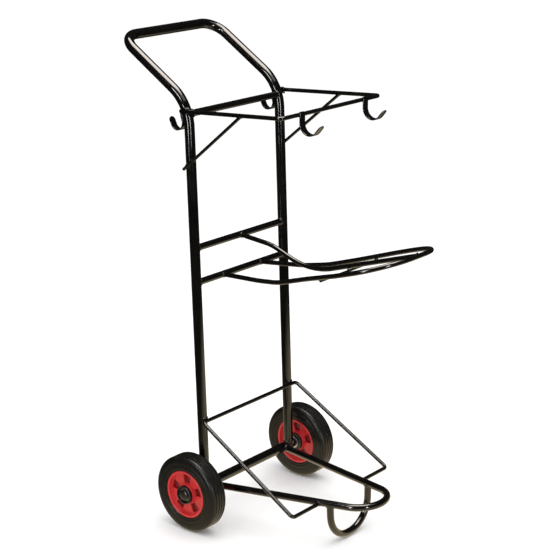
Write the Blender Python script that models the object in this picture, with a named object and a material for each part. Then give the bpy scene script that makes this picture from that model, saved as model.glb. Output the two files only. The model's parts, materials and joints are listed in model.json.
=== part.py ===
"""Wheeled saddle rack: a welded tube trolley with a saddle cradle, a bridle rack and two spinning wheels.

The rack stands on the ground at z = 0. +X is the left side and -Y is the front, where the cradle's nose points.
The posts lean back towards +Y. Positions are written as (x, ahead, height), where ahead is the distance in
front of the wheels' axis. All lengths are in metres.
"""
import math

import bmesh
import bpy
from mathutils import Quaternion, Vector

GAP = 0.0003  # clearance between pieces that touch
COPE_INSET = 0.002  # a coped end starts this far short of its neighbour's axis
LEFT, RIGHT = 1, -1
SIDES = {"left": LEFT, "right": RIGHT}

# Wheels and axle
WHEEL_RADIUS = 0.100
WHEEL_WIDTH = 0.050
WHEEL_OFFSET = 0.2175  # wheel's middle plane from the rack's middle plane
AXLE_Y = 0.1487  # puts the middle of the rack's footprint at y = 0
AXLE_HEIGHT = WHEEL_RADIUS
AXLE_RADIUS = 0.010
AXLE_TUBE_RADIUS = 0.0125
AXLE_TUBE_WALL = 0.002
AXLE_TUBE_HALF = 0.1845
AXLE_END = 0.0285  # axle rod's end, outwards from the wheel's middle plane

# Posts and handle, one bent tube
MAIN_RADIUS = 0.0125
TUBE_WALL = 0.0015
POST_SPACING = 0.332
POST_LEAN = math.radians(0.78)
POST_BEND = 0.984  # along the post, from the axle to where the handle's arms turn back
POST_BEND_RADIUS = 0.110
ARM_LENGTH = 0.2615
ARM_RISE = math.radians(32.96)
GRIP_CORNER_RADIUS = 0.050

# Crossbars between the posts, by distance along the posts from the axle
CROSSBAR_RADIUS = 0.0085
CROSSBARS = {"top_crossbar": 0.959, "upper_crossbar": 0.6267, "lower_crossbar": 0.5389}

# Square rod rack round the top
RACK_RADIUS = 0.005
RACK_ALONG = 0.9677
RACK_PITCH = math.radians(2.92)
RACK_REACH = 0.304  # from the posts' axis to the front rod
RACK_TAIL = 0.010  # rod left behind the posts
RACK_CORNER_RADIUS = 0.012
BRACE_RADIUS = 0.004
BRACE_ALONG = 0.8335
BRACE_REACH = 0.184  # where a brace meets the rack, ahead of the posts' axis
BRACE_TAIL = 0.012

# Strip hooks
HOOK_WIDTH = 0.019
HOOK_THICKNESS = 0.003
HOOK_BEND_STEP = math.radians(20)
HOOK_TIP_ANGLES = (0, 30, 55, 75)  # degrees round the tip's half circle
FRONT_HOOK_OFFSET = 0.1185
FRONT_HOOK = (math.radians(1.3), 0.0235, 0.0255, math.radians(140), 0.022)  # lean, shank, radius, turn, tip
REAR_HOOK = (math.radians(16.5), 0.0188, 0.0190, math.radians(171.8), 0.0201)
REAR_HOOK_TOP = (-0.0340, 1.0600)  # ahead, height of the strip's top end

# Saddle cradle
CRADLE_RADIUS = 0.006
CRADLE_RISE = math.tan(math.radians(16.85))
CRADLE_NOSE = 0.537
CRADLE_NOSE_HEIGHT = 0.7631
CRADLE_HALF = 0.126
CRADLE_START_HALF = 0.070  # where the loop meets the lower crossbar
CRADLE_HEEL = (-0.0835, 0.122, 0.6487)  # the bend between the level part and the slope
CRADLE_SIDE = ((0.0970, 0.197), (0.1025, 0.288), (CRADLE_HALF, 0.399))  # half-width and ahead along the slope
CRADLE_CORNER_RADIUS = 0.105
CRADLE_BEND_RADIUS = 0.250
CENTRE_ROD_SHOULDER = (0, 0.0965, 0.7165)
CENTRE_ROD_VALLEY = 0.221  # ahead, where the centre rod joins the slope
CENTRE_ROD_BENDS = (0.150, 0.200)
CENTRE_ROD_LIFT = 0.0015  # height of the centre rod above the loop
CROSS_ROD_RADIUS = 0.003
CROSS_ROD_AHEAD = 0.338
CROSS_ROD_HALF = 0.109

# Base loop, front leg and lower frame
BASE_RADIUS = 0.009
BASE_HALF = 0.149  # half-width of the loop at the axle
BASE_START_HEIGHT = 0.0975
BASE_TAPER = 0.2138  # half-width lost per metre ahead
BASE_SLOPE = 0.0432  # height gained per metre ahead
BASE_NOSE_RADIUS = 0.0687
LEG_AHEAD = 0.337
LEG_FOOT_HALF = 0.0735
LEG_FOOT_RADIUS = 0.072
LOWER_ROD_RADIUS = 0.005
LOWER_ROD_ALONG = 0.180
LOWER_ROD_HALF = (0.182, 0.190)  # at the posts, at the front
LOWER_ROD_AHEAD = 0.311
LOWER_ROD_FRONT_HEIGHT = 0.1097
LOWER_ROD_CORNER_RADIUS = 0.010

# Wheel pieces, as distances outwards from the wheel's middle plane and radii about its axis
TREAD_GROOVES = (-0.0135, -0.0045, 0.0045, 0.0135)
GROOVE_HALF = 0.0014
GROOVE_DEPTH = 0.0022
SHOULDER = (0.0090, 0.0120)  # how far it takes across the tread, and down the tyre's side
SHOULDER_ANGLES = (0, 30, 60, 90)
SIDEWALL_BULGE = (0.0005, 0.0100)  # inset from the tyre's side, height above the flange
BEAD_HALF = 0.0190
BEAD_RADIUS = 0.0563
FLANGE_HALF = 0.0235
FLANGE_RADIUS = 0.0620
FLANGE_REVEAL = 0.0010  # how far the rim's lip stands out past the tyre beside it
LIP_WIDTH = 0.0055
LIP_SLOPE = 0.0030
DISC_HALF = 0.0145
COLLAR_HEIGHT = 0.0070  # the rim's collar round the hub, above the disc
COLLAR_WALLS = (0.0045, 0.0035)  # at its foot, at its top
POCKET_COUNT = 5
POCKET_PHASE = math.radians(90)  # one pocket is at the top
POCKET_FLOOR = 0.0070
POCKET_RADII = (0.0290, 0.0505)
POCKET_HALF_ANGLES = (math.radians(16), math.radians(14.5))
HUB_RADIUS = 0.0240
HUB_CHAMFER = 0.0018
HUB_INNER_END = -0.0295
HUB_OUTER_END = 0.0300
HUB_RECESS_RADIUS = 0.0195
HUB_RECESS_FLOOR = 0.0230
BUSH_RADIUS = 0.0135
BUSH_INSET = 0.0005
CAP_RADIUS = 0.0140
CAP_DOME = 0.0050
CAP_ANGLES = (0, 30, 60)
WASHER_RADIUS = 0.0155
WASHER_THICKNESS = 0.0020

WHEEL_SEGMENTS = 32
HUB_SEGMENTS = 24
TUBE_SIDES = 12
ROD_SIDES = 10
THIN_ROD_SIDES = 8
BEND_STEP = math.radians(15)
FINE_BEND_STEP = math.radians(10)
CORNER_STEP = math.radians(22.5)
SHARP_ANGLE = math.radians(35)
CUTTER_OVERSHOOT = 0.002

LOOKS = {  # colour, roughness, metallic
    "paint": ((0.012, 0.012, 0.013), 0.22, 0.0),
    "rubber": ((0.020, 0.020, 0.019), 0.65, 0.0),
    "red_plastic": ((0.560, 0.020, 0.025), 0.32, 0.0),
    "black_plastic": ((0.018, 0.018, 0.018), 0.38, 0.0),
    "steel": ((0.550, 0.550, 0.560), 0.35, 1.0),
}

POST_UP = Vector((0, math.sin(POST_LEAN), math.cos(POST_LEAN)))
POST_AHEAD = Vector((0, -math.cos(POST_LEAN), math.sin(POST_LEAN)))


def clear_scene():
    for item in list(bpy.data.objects):
        bpy.data.objects.remove(item, do_unlink=True)


def place(x, ahead, height):
    return Vector((x, AXLE_Y - ahead, height))


def on_post(side, along, ahead=0.0):
    """A point at a distance along a post's axis from the axle, or ahead of it square to the post."""
    foot = place(side * POST_SPACING / 2, 0, AXLE_HEIGHT)
    return foot + POST_UP * along + POST_AHEAD * ahead


def mirrored(points):
    """A path that runs up the right side, then back down the left side as its mirror image."""
    return points + [Vector((-p.x, p.y, p.z)) for p in reversed(points)]


# ---------------------------------------------------------------- paths and meshes

def fillet(points, radii, step=BEND_STEP):
    """The points joined by straight runs, with an arc of the given radius at each inner corner."""
    path = [points[0]]
    for before, corner, after, radius in zip(points, points[1:], points[2:], radii):
        back = (before - corner).normalized()
        on = (after - corner).normalized()
        turn = math.pi - back.angle(on)
        centre = corner + (back + on).normalized() * radius / math.cos(turn / 2)
        arm = corner + back * radius * math.tan(turn / 2) - centre
        axis = on.cross(back)
        steps = max(1, math.ceil(turn / step))
        path += [centre + Quaternion(axis, turn * k / steps) @ arm for k in range(steps + 1)]
    path.append(points[-1])
    return path


def tangents(path):
    runs = [(b - a).normalized() for a, b in zip(path, path[1:])]
    middle = [(a + b).normalized() for a, b in zip(runs, runs[1:])]
    return [runs[0]] + middle + [runs[-1]]


def frames(path):
    """Each point with two directions square to the path, carried along it without twist."""
    headings = tangents(path)
    across = path[-1] - path[0]
    across -= headings[0] * across.dot(headings[0])
    if across.length < 1e-6:
        across = headings[0].orthogonal()
    across.normalize()
    result = []
    previous = headings[0]
    for point, heading in zip(path, headings):
        across = previous.rotation_difference(heading) @ across
        result.append((point, across, heading.cross(across)))
        previous = heading
    return result


def add_rings(mesh, path, radius, sides):
    rings = []
    for point, u, v in frames(path):
        angles = [2 * math.pi * k / sides for k in range(sides)]
        rings.append([mesh.verts.new(point + radius * (u * math.cos(a) + v * math.sin(a))) for a in angles])
    return rings


def bridge(mesh, first, second):
    for k in range(len(first)):
        n = (k + 1) % len(first)
        mesh.faces.new((first[k], first[n], second[n], second[k]))


def add_sweep(mesh, path, radius, sides, wall=None):
    """A round bar along the path, or an open-ended tube when a wall thickness is given."""
    outer = add_rings(mesh, path, radius, sides)
    for first, second in zip(outer, outer[1:]):
        bridge(mesh, first, second)
    if wall is None:
        mesh.faces.new(outer[0])
        mesh.faces.new(outer[-1])
        return
    inner = add_rings(mesh, path, radius - wall, sides)
    for first, second in zip(inner, inner[1:]):
        bridge(mesh, first, second)
    bridge(mesh, outer[0], inner[0])
    bridge(mesh, outer[-1], inner[-1])


def add_turning(mesh, profile, segments, closed=True):
    """A profile of (outwards, radius) points turned about the local X axis; a radius of 0 is a pole."""
    rings = []
    for out, radius in profile:
        if radius == 0:
            rings.append([mesh.verts.new((out, 0, 0))] * segments)
            continue
        angles = [2 * math.pi * k / segments - math.pi / 2 for k in range(segments)]
        rings.append([mesh.verts.new((out, radius * math.cos(a), radius * math.sin(a))) for a in angles])
    pairs = list(zip(rings, rings[1:]))
    if closed:
        pairs.append((rings[-1], rings[0]))
    for first, second in pairs:
        for k in range(segments):
            n = (k + 1) % segments
            corners = [first[k], first[n], second[n], second[k]]
            mesh.faces.new([c for i, c in enumerate(corners) if c not in corners[:i]])


def finish_mesh(mesh, name):
    bmesh.ops.recalc_face_normals(mesh, faces=mesh.faces)
    data = bpy.data.meshes.new(name)
    mesh.to_mesh(data)
    mesh.free()
    data.shade_smooth()
    data.set_sharp_from_angle(angle=SHARP_ANGLE)
    return data


def add_material(item, look):
    colour, roughness, metallic = LOOKS[look]
    material = bpy.data.materials.new(item.name)
    material.use_nodes = True
    shader = material.node_tree.nodes["Principled BSDF"]
    shader.inputs["Base Color"].default_value = (*colour, 1)
    shader.inputs["Roughness"].default_value = roughness
    shader.inputs["Metallic"].default_value = metallic
    item.data.materials.append(None)
    item.material_slots[0].link = "OBJECT"
    item.material_slots[0].material = material


def add_object(name, data, origin=Vector()):
    item = bpy.data.objects.new(name, data)
    item.location = origin
    bpy.context.scene.collection.objects.link(item)
    return item


def bar(name, path, radius, sides=ROD_SIDES, wall=None, look="paint"):
    """A bar or tube whose origin is its path's first point."""
    mesh = bmesh.new()
    add_sweep(mesh, [p - path[0] for p in path], radius, sides, wall)
    item = add_object(name, finish_mesh(mesh, name), path[0])
    add_material(item, look)
    return item


def tube(name, path, radius, sides=TUBE_SIDES, wall=TUBE_WALL):
    return bar(name, path, radius, sides, wall)


def clearance(name, path, radius, sides):
    """A hidden cutter the size of a bar plus the gap, for coping the ends of what is welded to it."""
    mesh = bmesh.new()
    add_sweep(mesh, path, radius + GAP, sides)
    cutter = add_object(name, finish_mesh(mesh, name))
    cutter.hide_render = True
    cutter.display_type = "WIRE"
    return cutter


def cut(item, cutter):
    modifier = item.modifiers.new("cut_" + cutter.name, "BOOLEAN")
    modifier.operation = "DIFFERENCE"
    modifier.solver = "EXACT"
    modifier.object = cutter


# ---------------------------------------------------------------- frame

def main_frame_path():
    foot = on_post(RIGHT, 0)
    bend = on_post(RIGHT, POST_BEND)
    grip = bend + Vector((0, math.cos(ARM_RISE), math.sin(ARM_RISE))) * ARM_LENGTH
    radii = [POST_BEND_RADIUS, GRIP_CORNER_RADIUS, GRIP_CORNER_RADIUS, POST_BEND_RADIUS]
    return fillet(mirrored([foot, bend, grip]), radii, FINE_BEND_STEP)


def axle_path(half):
    return [place(-half, 0, AXLE_HEIGHT), place(half, 0, AXLE_HEIGHT)]


def crossbar_path(along):
    return [on_post(side, along) - Vector((side * COPE_INSET, 0, 0)) for side in (RIGHT, LEFT)]


def build_posts():
    path = main_frame_path()
    axle_cutter = clearance("clear_axle_tube", axle_path(WHEEL_OFFSET), AXLE_TUBE_RADIUS, HUB_SEGMENTS)
    main = tube("main_frame_tube", path, MAIN_RADIUS)
    cut(main, axle_cutter)
    bar("axle_tube", axle_path(AXLE_TUBE_HALF), AXLE_TUBE_RADIUS, HUB_SEGMENTS, AXLE_TUBE_WALL)
    post_cutter = clearance("clear_posts", path, MAIN_RADIUS, TUBE_SIDES)
    for name, along in CROSSBARS.items():
        crossbar = tube(name, crossbar_path(along), CROSSBAR_RADIUS)
        cut(crossbar, post_cutter)
    return axle_cutter


def rack_point(side, reach):
    """A point on a side rod of the rack, at a distance ahead of the posts' axis."""
    start = on_post(side, RACK_ALONG)
    start.x += side * (MAIN_RADIUS + RACK_RADIUS + GAP)
    return start + Vector((0, -1, math.tan(RACK_PITCH))) * reach


def rack_path():
    points = mirrored([rack_point(RIGHT, -RACK_TAIL), rack_point(RIGHT, RACK_REACH)])
    return fillet(points, [RACK_CORNER_RADIUS] * 2, CORNER_STEP)


def build_rack():
    path = rack_path()
    bar("top_rack_rod", path, RACK_RADIUS)
    rack_cutter = clearance("clear_rack_rod", path, RACK_RADIUS, ROD_SIDES)
    for word, side in SIDES.items():
        foot = on_post(side, BRACE_ALONG)
        foot.x += side * (MAIN_RADIUS + BRACE_RADIUS + GAP)
        head = rack_point(side, BRACE_REACH)
        tail = (foot - head).normalized() * BRACE_TAIL
        brace = bar(word + "_rack_brace", [foot + tail, head], BRACE_RADIUS, THIN_ROD_SIDES)
        cut(brace, rack_cutter)


# ---------------------------------------------------------------- strip hooks

def hook_stations(lean, shank, radius, turn, tip):
    """Points along a hook as (outwards, up, heading, half-width), from its top end round to its tip."""
    heading = -math.pi / 2 - lean
    out, up = 0.0, 0.0
    half = HOOK_WIDTH / 2
    stations = [(out, up, heading, half)]
    out += shank * math.cos(heading)
    up += shank * math.sin(heading)
    steps = math.ceil(turn / HOOK_BEND_STEP)
    centre = (out - radius * math.sin(heading), up + radius * math.cos(heading))
    for k in range(steps + 1):
        angle = heading + turn * k / steps
        out = centre[0] + radius * math.sin(angle)
        up = centre[1] - radius * math.cos(angle)
        stations.append((out, up, angle, half))
    for angle in HOOK_TIP_ANGLES:
        reach = tip - half + half * math.sin(math.radians(angle))
        narrow = half * math.cos(math.radians(angle))
        stations.append((out + reach * math.cos(heading + turn), up + reach * math.sin(heading + turn),
                         heading + turn, narrow))
    return stations


def hook_mesh(name, shape, outwards):
    """A bent strip whose origin is the middle of its top end; outwards is +1 for a hook that opens to +Y."""
    mesh = bmesh.new()
    rings = []
    for out, up, heading, half in hook_stations(*shape):
        middle = Vector((0, out * outwards, up))
        normal = Vector((0, -math.sin(heading) * outwards, math.cos(heading))) * HOOK_THICKNESS / 2
        width = Vector((half, 0, 0))
        corners = (-width - normal, width - normal, width + normal, normal - width)
        rings.append([mesh.verts.new(middle + c) for c in corners])
    for first, second in zip(rings, rings[1:]):
        bridge(mesh, first, second)
    mesh.faces.new(rings[0])
    mesh.faces.new(rings[-1])
    return finish_mesh(mesh, name)


def build_hooks():
    front = hook_mesh("front_hook", FRONT_HOOK, -1)
    rear = hook_mesh("rear_hook", REAR_HOOK, 1)
    rod = rack_point(RIGHT, RACK_REACH)
    front_y = rod.y - RACK_RADIUS - GAP - HOOK_THICKNESS / 2
    for word, side in SIDES.items():
        top = Vector((side * FRONT_HOOK_OFFSET, front_y, rod.z + RACK_RADIUS))
        add_material(add_object(word + "_front_hook", front, top), "paint")
        top = place(side * POST_SPACING / 2, *REAR_HOOK_TOP)
        add_material(add_object(word + "_rear_hook", rear, top), "paint")


# ---------------------------------------------------------------- saddle cradle

def on_cradle(x, ahead):
    """A point on the cradle's sloping front part."""
    return place(x, ahead, CRADLE_NOSE_HEIGHT - CRADLE_RISE * (CRADLE_NOSE - ahead))


def cradle_loop_path():
    start = on_post(RIGHT, CROSSBARS["lower_crossbar"])
    start.x = -CRADLE_START_HALF
    slope = [on_cradle(-half, ahead) for half, ahead in CRADLE_SIDE]
    points = [start, place(*CRADLE_HEEL)] + slope + [on_cradle(-CRADLE_HALF, CRADLE_NOSE)]
    bends = [CRADLE_BEND_RADIUS] * 4 + [CRADLE_CORNER_RADIUS]
    return fillet(mirrored(points), bends + bends[::-1], FINE_BEND_STEP)


def centre_rod_path():
    start = on_post(RIGHT, CROSSBARS["upper_crossbar"])
    start.x = 0
    lift = Vector((0, 0, CENTRE_ROD_LIFT))
    valley = on_cradle(0, CENTRE_ROD_VALLEY) + lift
    nose = on_cradle(0, CRADLE_NOSE - COPE_INSET) + lift
    return fillet([start, place(*CENTRE_ROD_SHOULDER), valley, nose], CENTRE_ROD_BENDS, FINE_BEND_STEP)


def build_cradle():
    loop_path = cradle_loop_path()
    loop = bar("saddle_loop_rod", loop_path, CRADLE_RADIUS)
    centre = bar("saddle_centre_rod", centre_rod_path(), CRADLE_RADIUS)
    for item, name in ((loop, "lower_crossbar"), (centre, "upper_crossbar")):
        path = crossbar_path(CROSSBARS[name])
        cut(item, clearance("clear_" + name, path, CROSSBAR_RADIUS, TUBE_SIDES))
    cut(centre, clearance("clear_loop_rod", loop_path, CRADLE_RADIUS, ROD_SIDES))
    drop = Vector((0, 0, (CRADLE_RADIUS + CROSS_ROD_RADIUS + GAP) * math.hypot(1, CRADLE_RISE)))
    ends = [on_cradle(side * CROSS_ROD_HALF, CROSS_ROD_AHEAD) - drop for side in (RIGHT, LEFT)]
    bar("saddle_cross_rod", ends, CROSS_ROD_RADIUS, THIN_ROD_SIDES)


# ---------------------------------------------------------------- base

def on_base(side, ahead):
    """A point on one rail of the base loop."""
    return place(side * (BASE_HALF - BASE_TAPER * ahead), ahead, BASE_START_HEIGHT + BASE_SLOPE * ahead)


def base_loop_path():
    points = [on_base(RIGHT, 0), on_base(RIGHT, BASE_HALF / BASE_TAPER), on_base(LEFT, 0)]
    return fillet(points, [BASE_NOSE_RADIUS], FINE_BEND_STEP)


def leg_path():
    top = on_base(RIGHT, LEG_AHEAD) - Vector((0, 0, COPE_INSET))
    foot = place(-LEG_FOOT_HALF, LEG_AHEAD, BASE_RADIUS)
    return fillet(mirrored([top, foot]), [LEG_FOOT_RADIUS] * 2)


def lower_rod_path():
    rear_half, front_half = LOWER_ROD_HALF
    rear = on_post(RIGHT, LOWER_ROD_ALONG, MAIN_RADIUS + LOWER_ROD_RADIUS + GAP)
    rear.x = -rear_half
    front = place(-front_half, LOWER_ROD_AHEAD, LOWER_ROD_FRONT_HEIGHT)
    stub = on_base(RIGHT, LOWER_ROD_AHEAD)
    stub.z = LOWER_ROD_FRONT_HEIGHT
    return fillet(mirrored([stub, front, rear]), [LOWER_ROD_CORNER_RADIUS] * 4, CORNER_STEP)


def build_base(axle_cutter):
    path = base_loop_path()
    loop = tube("base_loop_tube", path, BASE_RADIUS)
    cut(loop, axle_cutter)
    base_cutter = clearance("clear_base_loop", path, BASE_RADIUS, TUBE_SIDES)
    cut(tube("front_leg_tube", leg_path(), BASE_RADIUS), base_cutter)
    cut(bar("lower_frame_rod", lower_rod_path(), LOWER_ROD_RADIUS), base_cutter)


# ---------------------------------------------------------------- wheels

def tyre_profile():
    half = WHEEL_WIDTH / 2
    across, down = SHOULDER
    foot = FLANGE_RADIUS + GAP
    inset, bulge_height = SIDEWALL_BULGE
    right = [(BEAD_HALF, BEAD_RADIUS), (BEAD_HALF, foot), (FLANGE_HALF - FLANGE_REVEAL, foot)]
    right.append((half - inset, FLANGE_RADIUS + bulge_height))
    for angle in SHOULDER_ANGLES:
        a = math.radians(angle)
        right.append((half - across * (1 - math.cos(a)), WHEEL_RADIUS - down * (1 - math.sin(a))))
    tread = []
    for middle in reversed(TREAD_GROOVES):
        tread.append((middle + GROOVE_HALF, WHEEL_RADIUS))
        tread.append((middle, WHEEL_RADIUS - GROOVE_DEPTH))
        tread.append((middle - GROOVE_HALF, WHEEL_RADIUS))
    left = [(-out, radius) for out, radius in reversed(right)]
    return right + tread + left


def rim_profile():
    seat = BEAD_RADIUS - GAP
    foot_wall, top_wall = COLLAR_WALLS
    half = [
        (BEAD_HALF + GAP, seat),
        (BEAD_HALF + GAP, FLANGE_RADIUS),
        (FLANGE_HALF, FLANGE_RADIUS),
        (FLANGE_HALF, FLANGE_RADIUS - LIP_WIDTH),
        (DISC_HALF, POCKET_RADII[1] + LIP_SLOPE),
        (DISC_HALF, HUB_RADIUS + foot_wall),
        (DISC_HALF + COLLAR_HEIGHT, HUB_RADIUS + top_wall),
        (DISC_HALF + COLLAR_HEIGHT, HUB_RADIUS + GAP),
    ]
    return half + [(-out, radius) for out, radius in reversed(half)]


def pocket_cutter(origin):
    """Wedge-shaped blocks that cut the rim's pockets into both of its faces."""
    mesh = bmesh.new()
    (inner, outer), (inner_half, outer_half) = POCKET_RADII, POCKET_HALF_ANGLES
    outline = [(inner, -inner_half), (inner, inner_half)]
    outline += [(outer, outer_half), (outer, 0), (outer, -outer_half)]
    for face in (LEFT, RIGHT):
        for k in range(POCKET_COUNT):
            turn = POCKET_PHASE + 2 * math.pi * k / POCKET_COUNT
            ends = []
            for out in (POCKET_FLOOR, DISC_HALF + CUTTER_OVERSHOOT):
                ends.append([mesh.verts.new((face * out, r * math.cos(a + turn), r * math.sin(a + turn)))
                             for r, a in outline])
            bridge(mesh, *ends)
            mesh.faces.new(ends[0])
            mesh.faces.new(ends[1])
    cutter = add_object("pocket_blocks", finish_mesh(mesh, "pocket_blocks"), origin)
    cutter.hide_render = True
    cutter.display_type = "WIRE"
    return cutter


def hub_profile():
    bore = BUSH_RADIUS + GAP
    return [
        (HUB_INNER_END, bore),
        (HUB_INNER_END, HUB_RADIUS - HUB_CHAMFER),
        (HUB_INNER_END + HUB_CHAMFER, HUB_RADIUS),
        (HUB_OUTER_END - HUB_CHAMFER, HUB_RADIUS),
        (HUB_OUTER_END, HUB_RADIUS - HUB_CHAMFER),
        (HUB_OUTER_END, HUB_RECESS_RADIUS),
        (HUB_RECESS_FLOOR, HUB_RECESS_RADIUS),
        (HUB_RECESS_FLOOR, bore),
    ]


def ring_profile(start, end, inner, outer):
    return [(start, inner), (start, outer), (end, outer), (end, inner)]


def cap_profile():
    """A domed push-on cap: a short socket over the axle's end, closed outside."""
    start = HUB_RECESS_FLOOR + GAP + WASHER_THICKNESS + GAP
    brim = AXLE_END + GAP
    bore = AXLE_RADIUS + GAP
    dome = []
    for angle in CAP_ANGLES:
        a = math.radians(angle)
        dome.append((brim + CAP_DOME * math.sin(a), CAP_RADIUS * math.cos(a)))
    return [(brim, 0), (brim, bore), (start, bore), (start, CAP_RADIUS)] + dome + [(brim + CAP_DOME, 0)]


def turned_data(name, profile, segments, closed=True):
    mesh = bmesh.new()
    add_turning(mesh, profile, segments, closed)
    return finish_mesh(mesh, name)


def wheel_pieces():
    """The meshes of one wheel with what holds it on, drawn with +X outwards."""
    bore = AXLE_RADIUS + GAP
    bush = ring_profile(HUB_INNER_END + BUSH_INSET, HUB_RECESS_FLOOR - BUSH_INSET, bore, BUSH_RADIUS)
    inner_washer = ring_profile(AXLE_TUBE_HALF + GAP - WHEEL_OFFSET, HUB_INNER_END - GAP, bore, WASHER_RADIUS)
    outer_start = HUB_RECESS_FLOOR + GAP
    outer_washer = ring_profile(outer_start, outer_start + WASHER_THICKNESS, bore, WASHER_RADIUS)
    turning = {
        "tyre": (turned_data("tyre", tyre_profile(), WHEEL_SEGMENTS), "rubber"),
        "rim": (turned_data("rim", rim_profile(), WHEEL_SEGMENTS), "red_plastic"),
        "hub": (turned_data("hub", hub_profile(), HUB_SEGMENTS), "black_plastic"),
        "bearing_bush": (turned_data("bearing_bush", bush, HUB_SEGMENTS), "steel"),
    }
    fixed = {
        "inner_washer": (turned_data("inner_washer", inner_washer, HUB_SEGMENTS), "steel"),
        "outer_washer": (turned_data("outer_washer", outer_washer, HUB_SEGMENTS), "steel"),
        "axle_cap": (turned_data("axle_cap", cap_profile(), HUB_SEGMENTS, closed=False), "black_plastic"),
    }
    return turning, fixed


def add_axis(name, side):
    """An empty on the axle at a wheel's middle plane, turned so that its +X points outwards."""
    axis = add_object(name, None, place(side * WHEEL_OFFSET, 0, AXLE_HEIGHT))
    if side == RIGHT:
        axis.rotation_euler.z = math.pi
    return axis


def build_wheels():
    bar("axle_rod", axle_path(WHEEL_OFFSET + AXLE_END), AXLE_RADIUS, HUB_SEGMENTS, look="steel")
    turning, fixed = wheel_pieces()
    for word, side in SIDES.items():
        for suffix, pieces in (("_wheel_axis", turning), ("_axle_end", fixed)):
            axis = add_axis(word + suffix, side)
            for piece, (data, look) in pieces.items():
                item = add_object(word + "_" + piece, data)
                item.parent = axis
                add_material(item, look)
                if piece == "rim":
                    cut(item, pocket_cutter(axis.location))


clear_scene()
axle_clearance = build_posts()
build_rack()
build_hooks()
build_cradle()
build_base(axle_clearance)
build_wheels()
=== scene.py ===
"""Looks of the wheeled saddle rack: gloss black tubes and rods with weld beads, strip hooks and two wheels.

Everything is in metres in the frame's own axes: +Z up, the cradle's nose to -Y, the wheels' axle along X.
Points on the rack are written as (x, ahead, height), where ahead is the distance in front of the axle.
"""
import json
import math
import random

import bmesh
import bpy
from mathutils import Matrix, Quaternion, Vector


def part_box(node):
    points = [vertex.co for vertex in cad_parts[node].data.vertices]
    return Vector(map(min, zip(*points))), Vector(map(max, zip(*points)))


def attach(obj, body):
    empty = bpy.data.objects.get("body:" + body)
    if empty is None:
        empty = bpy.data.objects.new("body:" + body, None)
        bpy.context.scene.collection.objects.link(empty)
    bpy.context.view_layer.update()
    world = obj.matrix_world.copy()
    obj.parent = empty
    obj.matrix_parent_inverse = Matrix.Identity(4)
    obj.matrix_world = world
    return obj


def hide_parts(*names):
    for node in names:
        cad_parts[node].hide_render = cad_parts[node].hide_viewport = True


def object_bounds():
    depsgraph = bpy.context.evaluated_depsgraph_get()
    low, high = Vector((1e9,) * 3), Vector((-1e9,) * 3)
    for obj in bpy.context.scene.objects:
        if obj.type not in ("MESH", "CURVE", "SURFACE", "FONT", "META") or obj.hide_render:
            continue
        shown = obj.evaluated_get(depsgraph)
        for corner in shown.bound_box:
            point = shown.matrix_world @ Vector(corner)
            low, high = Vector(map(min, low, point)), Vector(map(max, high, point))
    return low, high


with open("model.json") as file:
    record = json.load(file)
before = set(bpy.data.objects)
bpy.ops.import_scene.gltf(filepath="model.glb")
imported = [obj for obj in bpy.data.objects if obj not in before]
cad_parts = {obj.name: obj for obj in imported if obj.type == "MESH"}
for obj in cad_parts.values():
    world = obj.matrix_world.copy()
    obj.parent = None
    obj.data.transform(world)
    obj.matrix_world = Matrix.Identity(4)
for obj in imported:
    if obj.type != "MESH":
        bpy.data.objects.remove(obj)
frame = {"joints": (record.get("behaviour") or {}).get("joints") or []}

cad_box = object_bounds()
random.seed(11)

LEFT, RIGHT = 1, -1
SIDES = {"left": LEFT, "right": RIGHT}
AXLE = Vector(next(j["pos_m"] for j in frame["joints"] if j["child"] == "left_wheel"))
WHEEL_RADIUS = AXLE.z
GAP = 0.0003

# Sizes of the rack
MAIN_RADIUS = 0.0125
MAIN_WALL = 0.0015
POST_HALF = 0.166
POST_LEAN = math.radians(0.78)
POST_BEND = 0.984
POST_BEND_RADIUS = 0.110
ARM_LENGTH = 0.2615
ARM_RISE = math.radians(32.96)
GRIP_CORNER_RADIUS = 0.050
AXLE_TUBE_RADIUS = 0.0125
AXLE_TUBE_WALL = 0.002
CROSSBAR_RADIUS = 0.0085
CROSSBARS = {"top_crossbar": 0.959, "upper_crossbar": 0.6267, "lower_crossbar": 0.5389}
RACK_RADIUS = 0.005
RACK_ALONG = 0.9677
RACK_PITCH = math.radians(2.92)
RACK_REACH = 0.304
RACK_TAIL = 0.010
RACK_CORNER_RADIUS = 0.012
BRACE_RADIUS = 0.004
BRACE_ALONG = 0.8335
BRACE_REACH = 0.184
BRACE_TAIL = 0.012
HOOK_WIDTH = 0.019
HOOK_THICKNESS = 0.003
HOOK_EDGE = 0.0011  # radius of the strip's long edges
HOOK_TOP = (0.35, 0.0012)  # share of the shank that narrows to its top end, and by how much on each side
FRONT_HOOK_OFFSET = 0.1185
FRONT_HOOK = (math.radians(1.3), 0.0235, 0.0255, math.radians(140), 0.022)  # lean, shank, radius, turn, tip
REAR_HOOK = (math.radians(16.5), 0.0188, 0.0190, math.radians(171.8), 0.0201)
REAR_HOOK_TOP = (-0.0340, 1.0600)
CRADLE_RADIUS = 0.006
CRADLE_RISE = math.tan(math.radians(16.85))
CRADLE_NOSE = 0.537
CRADLE_NOSE_HEIGHT = 0.7631
CRADLE_HALF = 0.126
CRADLE_START_HALF = 0.070
CRADLE_HEEL = (-0.0835, 0.122, 0.6487)
CRADLE_SIDE = ((0.0970, 0.197), (0.1025, 0.288), (CRADLE_HALF, 0.399))
CRADLE_CORNER_RADIUS = 0.105
CRADLE_BEND_RADIUS = 0.250
CENTRE_ROD_SHOULDER = (0, 0.0965, 0.7165)
CENTRE_ROD_VALLEY = 0.221
CENTRE_ROD_BENDS = (0.150, 0.200)
CENTRE_ROD_LIFT = 0.0015
CROSS_ROD_RADIUS = 0.003
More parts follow.
